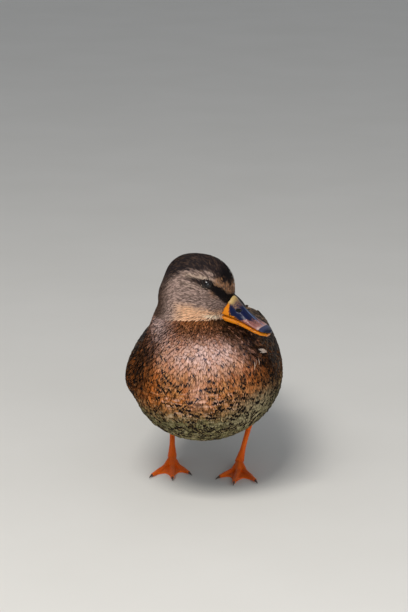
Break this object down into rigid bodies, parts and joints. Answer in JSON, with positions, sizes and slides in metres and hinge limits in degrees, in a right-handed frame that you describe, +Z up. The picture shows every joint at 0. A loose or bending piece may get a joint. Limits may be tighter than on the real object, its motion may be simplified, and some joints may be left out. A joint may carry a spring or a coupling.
{
  "type": "hen mallard duck",
  "caption": "Life-size still model of a brown mottled hen duck standing on both webbed feet, head turned to her left over the shoulder.",
  "frame": {"origin": "middle of the bounding box's underside, on the floor under the body", "axes": "+Z up; the breast faces -Y and the tail points to +Y; +X is the duck's left, the side to which the bill is turned"},
  "size_m": [0.1504, 0.3478, 0.2357],
  "materials": {
    "breast_feathers": "soft feathers, mottled",
    "head_feathers": "short soft feathers",
    "wing_feathers": "smooth overlapping feathers",
    "tail_feathers": "smooth overlapping feathers",
    "bill": "satin skin over horn",
    "nail": "satin horn",
    "eye": "wet gloss",
    "leg_skin": "fine-scaled skin",
    "claw": "satin horn"
  },
  "bodies": {
    "root": {"trunk": "breast_feathers", "thigh_left": "breast_feathers", "thigh_right": "breast_feathers", "head": "head_feathers", "neck": "head_feathers", "wing_left": "wing_feathers", "wing_right": "wing_feathers", "primaries_left": "wing_feathers", "primaries_right": "wing_feathers", "tail": "tail_feathers", "bill_upper": "bill", "bill_lower": "bill", "bill_nail": "nail", "eye_left": "eye", "eye_right": "eye", "shank_left": "leg_skin", "foot_left": "leg_skin", "hind_toe_left": "leg_skin", "claw_inner_left": "claw", "claw_middle_left": "claw", "claw_outer_left": "claw", "claw_hind_left": "claw", "shank_right": "leg_skin", "foot_right": "leg_skin", "hind_toe_right": "leg_skin", "claw_inner_right": "claw", "claw_middle_right": "claw", "claw_outer_right": "claw", "claw_hind_right": "claw"}
  },
  "joints": []
}
